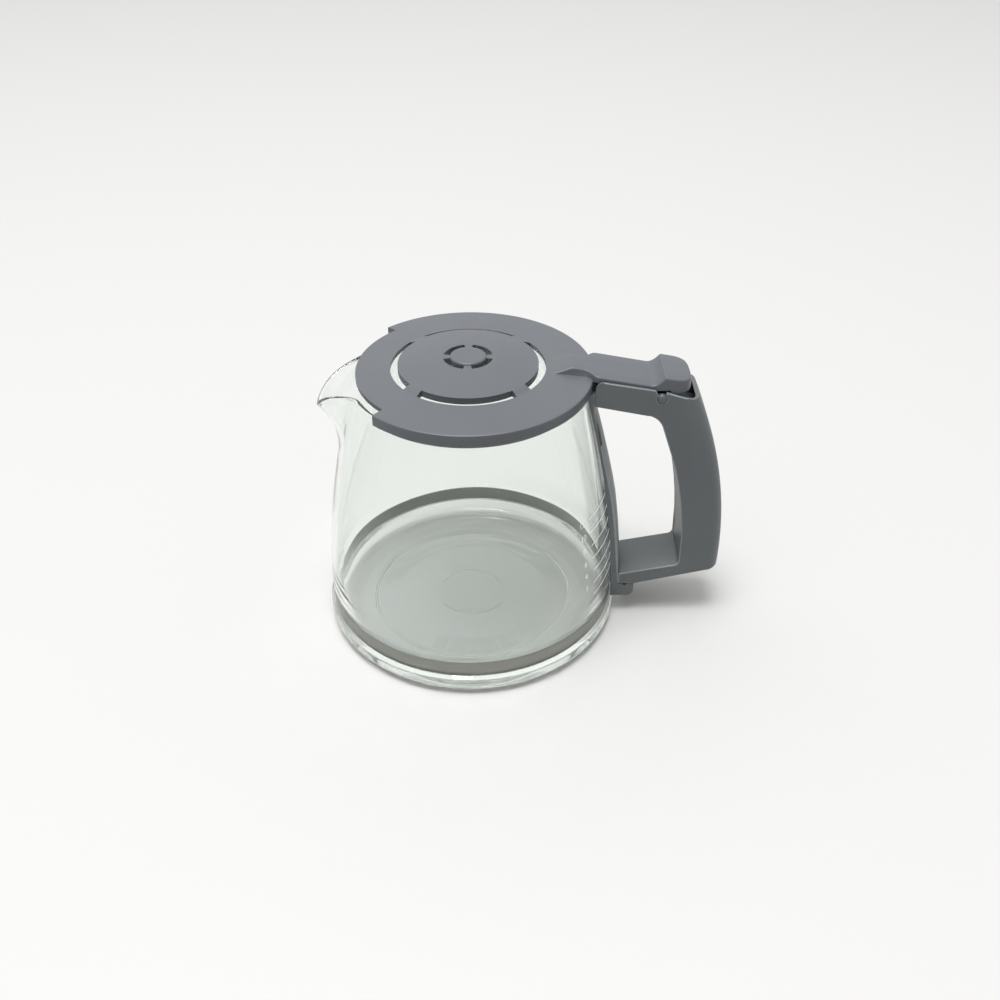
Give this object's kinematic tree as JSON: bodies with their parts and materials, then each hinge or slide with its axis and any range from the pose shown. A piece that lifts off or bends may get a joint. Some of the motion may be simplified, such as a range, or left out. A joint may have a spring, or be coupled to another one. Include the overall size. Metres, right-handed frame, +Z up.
{
  "type": "coffee server carafe",
  "caption": "Tapered glass coffee server with a pouring lip, a steel clamp band, a grey strapped-on handle and a vented lid that hinges up on a thumb lever.",
  "frame": {"origin": "centre of the glass foot on the surface it stands on", "axes": "+Z up along the jug's axis, +X towards the handle, pouring lip towards -X"},
  "size_m": [0.1997, 0.1468, 0.1443],
  "materials": {
    "glass": "clear heat-proof glass with a faint green-grey tint in the foot",
    "band_steel": "stainless strip brushed along its length",
    "fastener_steel": "zinc plated",
    "handle_plastic": "fine satin moulded grain",
    "lid_plastic": "fine satin moulded grain"
  },
  "bodies": {
    "server": {"glass_jug": "glass", "clamp_band": "band_steel", "band_screw": "fastener_steel", "band_nut": "fastener_steel", "spine_bracket": "handle_plastic", "handle_shell": "handle_plastic", "grip_liner": "handle_plastic", "arm_screws": "fastener_steel"},
    "lid": {"lid": "lid_plastic"}
  },
  "joints": [
    {"name": "lid_hinge", "type": "hinge", "parent": "server", "child": "lid", "pos_m": [0.08885, 0, 0.1286], "axis": [0, 1, 0], "range_deg": [0, 60]}
  ]
}
